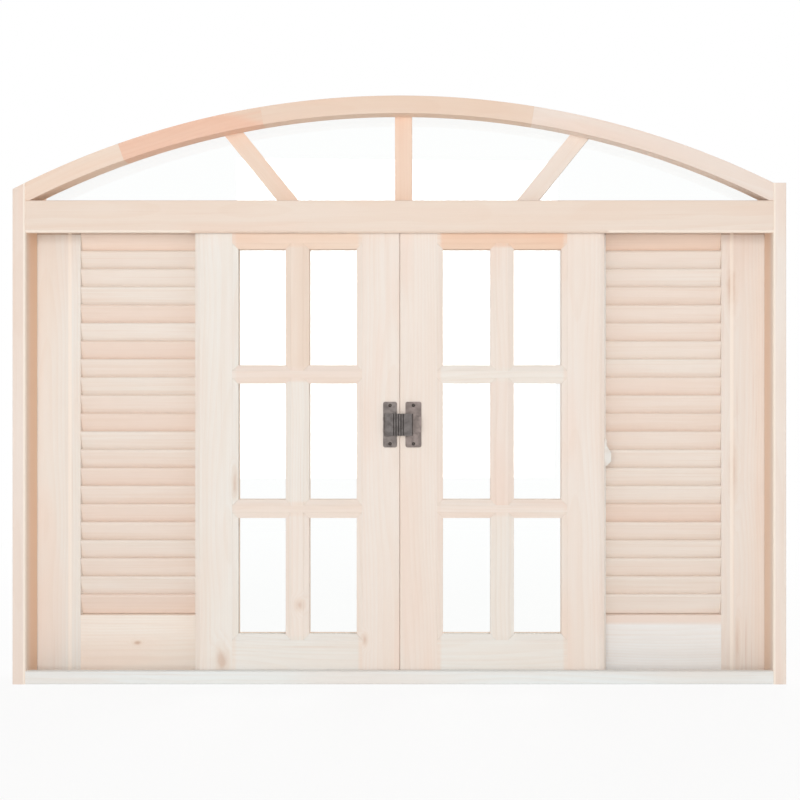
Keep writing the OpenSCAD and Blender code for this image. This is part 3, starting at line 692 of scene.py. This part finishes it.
# %% Slat wood
SLAT_SHIFT, SHIFT_TICKET = 90, 0.5
SLAT_FIBRES, SLAT_RINGS, SLAT_PATCHES = (20, 600, 3.0), (2.5, 190, 2.0), (4, 24, 2.0)
RINGS_RISE, PATCHES_RISE = (0.45, 0.72), (0.4, 0.7)
RINGS_SHARE, PATCHES_SHARE = 0.2, 0.25
SLAT_LATE, SLAT_WARM = chart(226, 200, 178), chart(239, 216, 201)
SLAT_ARRIS, SLAT_ROUGH, SLAT_FIBRE_ROUGH = 0.001, 0.66, 0.2
SLAT_SEEDS = {"left_shutter_slats": 3, "right_shutter_slats": 20}


def slat_pine(name, seed):
    """Pine along X whose tint is picked slat by slat, with fibres and faint rings."""
    finish = Finish("pine_" + name)
    x, y, z = finish.place()
    number = slat_numbers(finish, name)
    shift = lottery(finish, number + seed + SHIFT_TICKET) * SLAT_SHIFT

    def cloud(lengthways, crossways, detail):
        point = finish.vector(x * lengthways + shift, y * crossways, z * crossways)
        return finish.noise(point, detail=detail)

    fibre = cloud(*SLAT_FIBRES)
    rings = cloud(*SLAT_RINGS).step(*RINGS_RISE)
    patch = cloud(*SLAT_PATCHES).step(*PATCHES_RISE)
    colour = slat_tint(finish, name, number, seed)
    colour = finish.mix(patch * PATCHES_SHARE, colour, SLAT_WARM)
    colour = finish.mix(rings * RINGS_SHARE, colour, SLAT_LATE)
    colour = finish.mix((fibre - 0.5) * FIBRE_SHARE + FIBRE_BASE, colour, SLAT_LATE)
    soft, _ = finish.edge_wear_and_highlight(SLAT_ARRIS)
    return finish.surface(
        Base_Color=colour,
        Roughness=SLAT_ROUGH + (fibre - 0.5) * SLAT_FIBRE_ROUGH,
        Specular_IOR_Level=PINE_SHEEN,
        Normal=finish.bump(fibre * FIBRE_HEIGHT + rings * RING_HEIGHT, GRAIN_DEPTH, soft),
    )


for name, seed in SLAT_SEEDS.items():
    dress([name], slat_pine(name, seed))
print("slats dressed:", len(SLAT_SEEDS) * SLAT_COUNT)

# %% [markdown]
# ## The glass
# Thirteen panes of plain float glass. A pane is a thin closed solid, so a clear Principled surface with full
# transmission bends light in and out of it as the real one does, and the white studio shows through. Lamps
# would find that path through glass only by luck, so for their rays the pane is plain tinted air.

# %% Glass
GLASS_TINT, AIR_TINT = (0.985, 0.995, 0.99, 1.0), (0.97, 0.985, 0.98, 1.0)
GLASS_IOR = 1.5
SMEAR_CELLS, SMEAR_RISE, SMEAR_ROUGH = (5, 5, 9), (0.5, 0.8), 0.02
glass = Finish("window_glass")
smear_point = glass.vector(*(place * cell for place, cell in zip(glass.place(), SMEAR_CELLS)))
smear = glass.noise(smear_point, detail=3.0).step(*SMEAR_RISE)
pane = glass.principled(
    Base_Color=GLASS_TINT, Roughness=smear * SMEAR_ROUGH, IOR=GLASS_IOR, Transmission_Weight=1.0
)
open_air = glass.node("ShaderNodeBsdfTransparent", {}, {"Color": AIR_TINT})
lit_through = glass.rays("Shadow", "Diffuse")
glass.done(glass.node("ShaderNodeMixShader", {}, {0: lit_through, 1: pane, 2: open_air}))
GLAZED = ["fanlight_pane", "left_sash_panes", "right_sash_panes"]
dress(GLAZED, glass.owner)
print("glass in", GLAZED)

# %% [markdown]
# ## The latch
# The latch is cast zinc that has gone dull and grey, rubbed brighter along its edges, with darker blotches on
# its flats. Noise at two scales makes the blotches and the grit, and the worn edges show the metal. The
# grooves of its grip are darkened as painted shade, wherever the metal lies behind the grip's face. Its
# screws are plain steel that has darkened more.

# %% Latch metal
BLOTCH, BLOTCH_RISE, BLOTCH_SHARE = (90, 4.0, 0.6), (0.35, 0.7), 0.7
GRIT = (900, 2.0)
ZINC_EDGE, RUBBED_SHARE = 0.0006, 0.8
# painted shade in the grip's grooves: its colour, rise and share
GROOVE_SHADE, GROOVE_SHADE_RISE, GROOVE_SHADE_SHARE = chart(52, 45, 42), (0.0004, 0.0018), 0.85
CAST_DEPTH = 0.00012
SCREWS = ["latch_base_screws", "latch_keeper_screws"]
ZINC = {
    "latch_plate_zinc": (["latch_base"], (129, 120, 116), (100, 93, 89), (176, 167, 159)),
    "latch_keeper_zinc": (["latch_keeper"], (138, 125, 120), (107, 97, 92), (184, 172, 163)),
    "latch_grip_zinc": (["latch_bolt"], (108, 102, 100), (84, 78, 76), (158, 150, 144)),
    "screw_steel": (SCREWS, (74, 66, 61), (48, 41, 38), (140, 130, 121)),
}
grip_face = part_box("latch_bolt")[0].y


def worn_zinc(name, flat, dark, rubbed):
    """Dull cast zinc: blotches and fine grit between two greys, rubbed paler on the edges."""
    finish = Finish(name)
    x, y, z = finish.place()
    point = finish.vector(x, y, z)
    blotch = finish.noise(point, *BLOTCH).step(*BLOTCH_RISE)
    grit = finish.noise(point, *GRIT)
    soft, edge = finish.edge_wear_and_highlight(ZINC_EDGE)
    colour = finish.mix(blotch * BLOTCH_SHARE, chart(*flat), chart(*dark))
    colour = finish.mix(edge * RUBBED_SHARE, colour, chart(*rubbed))
    if name == "latch_grip_zinc":
        # painted shade: the grip is darkened wherever it lies behind its front face
        colour = finish.mix((y - grip_face).step(*GROOVE_SHADE_RISE) * GROOVE_SHADE_SHARE, colour, GROOVE_SHADE)
    return finish.surface(
        Base_Color=colour,
        Metallic=0.35 + edge * 0.4,
        Roughness=0.52 + blotch * 0.14 + (grit - 0.5) * 0.2,
        Normal=finish.bump(grit * 0.5 + blotch * 0.5, CAST_DEPTH, soft),
    )


for name, (pieces, *greys) in ZINC.items():
    dress(pieces, worn_zinc(name, *greys))
print("latch dressed in", len(ZINC), "metals")

# %% [markdown]
# ## Track, glides and buffer
# The track is bare aluminium drawn through a die, so its scratches run along it: noise that is very long in X
# and very fine across. The glides and the buffer are moulded nylon, a warm white that is faintly cloudy under
# a soft skin.

# %% Track and nylon
DIE_CELLS, DIE_EDGE, DIE_DEPTH = (3, 1500, 1500), 0.0004, 0.00005
NYLON_CLOUD, NYLON_SKIN, NYLON_EDGE, SKIN_DEPTH = (60, 3.0), (1200, 2.0), 0.001, 0.00006


def drawn_aluminium():
    """Bare aluminium with die lines along X."""
    finish = Finish("track_aluminium")
    lines = finish.noise(finish.vector(*(place * cell for place, cell in zip(finish.place(), DIE_CELLS))))
    colour = finish.mix(lines.step(0.3, 0.7), chart(190, 192, 194), chart(214, 215, 216))
    soft, _ = finish.edge_wear_and_highlight(DIE_EDGE)
    return finish.surface(
        Base_Color=colour, Metallic=0.9, Roughness=0.34 + lines * 0.14,
        Normal=finish.bump(lines, DIE_DEPTH, soft),
    )


def white_nylon():
    """Moulded nylon, a warm white with a faint cloud and a soft skin."""
    finish = Finish("white_nylon")
    point = finish.vector(*finish.place())
    cloud = finish.noise(point, *NYLON_CLOUD)
    skin = finish.noise(point, *NYLON_SKIN)
    soft, _ = finish.edge_wear_and_highlight(NYLON_EDGE)
    colour = finish.mix(cloud.step(0.35, 0.7), chart(232, 228, 222), chart(222, 214, 205))
    return finish.surface(
        Base_Color=colour, Roughness=0.42 + skin * 0.12, Normal=finish.bump(skin, SKIN_DEPTH, soft)
    )


dress(["sill_track"], drawn_aluminium())
dress(["left_sash_glides", "right_sash_glides", "sash_buffer"], white_nylon())
print("track, glides and buffer dressed")

# %% [markdown]
# ## The surround
# The window stands in a white studio. The surround is white to the camera, to mirrors and through glass, but
# lights the wood at a lower level, so that the lamps can model the boards without bleaching them.

# %% Surround
AMBIENT = 0.50
WHITE = (1, 1, 1, 1)
BACKGROUND_RAYS = ("Camera", "Glossy", "Transmission")
world = bpy.data.worlds.new("studio")
bpy.context.scene.world = world
surround = Finish("studio", world)
light = surround.node("ShaderNodeBackground", {}, {"Color": WHITE, "Strength": AMBIENT})
white = surround.node("ShaderNodeBackground", {}, {"Color": WHITE, "Strength": 1.0})
seen = surround.rays(*BACKGROUND_RAYS)
surround.node("ShaderNodeOutputWorld", {}, {
    "Surface": surround.node("ShaderNodeMixShader", {}, {0: seen, 1: light, 2: white}),
})
print("surround lights at", AMBIENT)

# %% [markdown]
# ## The floor
# A pale matt floor, wide enough to run out of sight. A studio floor is lit until it melts into the backdrop,
# so this one adds white of its own for the rays that see the surround: all of it far off, where floor and
# surround should meet with no line, and less near the window, where the soft shadow has to stay.

# %% Floor
FLOOR_REACH, FLOOR_CELLS = 6.0, 8
FLOOR_FADE, NEAR_WHITE = (0.7, 2.6), 0.88
DAPPLE = (3, 3.0)


def grid_mesh(name, points):
    """A mesh of quads over an array of points: rows by columns by three."""
    rows, columns = points.shape[:2]
    corner = (np.arange(rows - 1)[:, None] * columns + np.arange(columns - 1)).ravel()
    quads = np.stack([corner, corner + 1, corner + columns + 1, corner + columns], axis=1)
    mesh = bpy.data.meshes.new(name)
    mesh.from_pydata(points.reshape(-1, 3).tolist(), [], quads.tolist())
    thing = bpy.data.objects.new(name, mesh)
    bpy.context.scene.collection.objects.link(thing)
    return thing


spread = np.linspace(-FLOOR_REACH, FLOOR_REACH, FLOOR_CELLS + 1)
floor_x, floor_y = np.meshgrid(spread, spread)
floor = grid_mesh("floor", np.stack([floor_x, floor_y, np.full_like(floor_x, cad_box[0][2])], axis=2))

pale_floor = Finish("pale_floor")
px, py, pz = pale_floor.place()
dapple = pale_floor.noise(pale_floor.vector(px, py, pz), *DAPPLE)
floor_colour = pale_floor.mix(dapple, chart(246, 246, 245), chart(250, 250, 249))
matt = pale_floor.node("ShaderNodeBsdfDiffuse", {}, {"Color": floor_colour})
glow = pale_floor.node("ShaderNodeEmission", {}, {"Color": WHITE, "Strength": 1.0})
far_off = ((px * px + py * py) ** 0.5).step(*FLOOR_FADE)
share = pale_floor.rays(*BACKGROUND_RAYS) * (NEAR_WHITE + far_off * (1 - NEAR_WHITE))
pale_floor.done(pale_floor.node("ShaderNodeMixShader", {}, {0: share, 1: matt, 2: glow}))
floor.data.materials.append(pale_floor.owner)
print("floor staged,", len(floor.data.polygons), "faces")

# %% [markdown]
# ## The lamps
# Big square lamps give the level light of a catalogue picture. One in front, behind the camera, lights the
# boards flat on; one high behind keeps the back from going dark; and a weak one at each side, a little behind
# the window, lights the jambs' outer faces, which would turn grey. All face the middle of the window.

# %% Lamps
TARGET = (0.0, 0.0, 0.55)
LAMPS = {
    "front_lamp": ((-0.2, -4.2, 1.0), 1.8, 69),
    "back_lamp": ((1.0, 3.0, 3.6), 2.4, 70),
    "left_fill": ((-3.4, 0.9, 1.4), 1.6, 16),
    "right_fill": ((3.4, 0.9, 1.4), 1.6, 16),
}


def soft_lamp(name, place, size, watts):
    """A square lamp at a place, turned to face the middle of the window."""
    lamp = bpy.data.lights.new(name, "AREA")
    lamp.size = size
    lamp.energy = watts
    thing = bpy.data.objects.new(name, lamp)
    bpy.context.scene.collection.objects.link(thing)
    aim = np.array(TARGET) - np.array(place)
    pan, drop = math.atan2(aim[0], aim[1]), math.atan2(aim[2], math.hypot(aim[0], aim[1]))
    thing.location = place
    thing.rotation_euler = (math.pi / 2 + drop, 0, -pan)


for name, (place, size, watts) in LAMPS.items():
    soft_lamp(name, place, size, watts)
print("lamps placed:", ", ".join(LAMPS))

# %% [markdown]
# ## The camera
# The photograph was taken square on, from a little right of the middle and at half the window's height, so
# the camera looks straight along +Y and a sideways shift brings the window back to the middle of the frame.

# %% Camera
CAMERA_PLACE = (0.10, -2.26, 0.551)
CAMERA_LENS, CAMERA_SHIFT = 51.1, -0.0637
eye = bpy.data.cameras.new("camera")
eye.lens = CAMERA_LENS
eye.shift_x = CAMERA_SHIFT
camera = bpy.data.objects.new("camera", eye)
bpy.context.scene.collection.objects.link(camera)
camera.location = CAMERA_PLACE
camera.rotation_euler = (math.pi / 2, 0, 0)
bpy.context.scene.camera = camera
bpy.context.scene.view_settings.view_transform = "Standard"
print("camera at", CAMERA_PLACE)
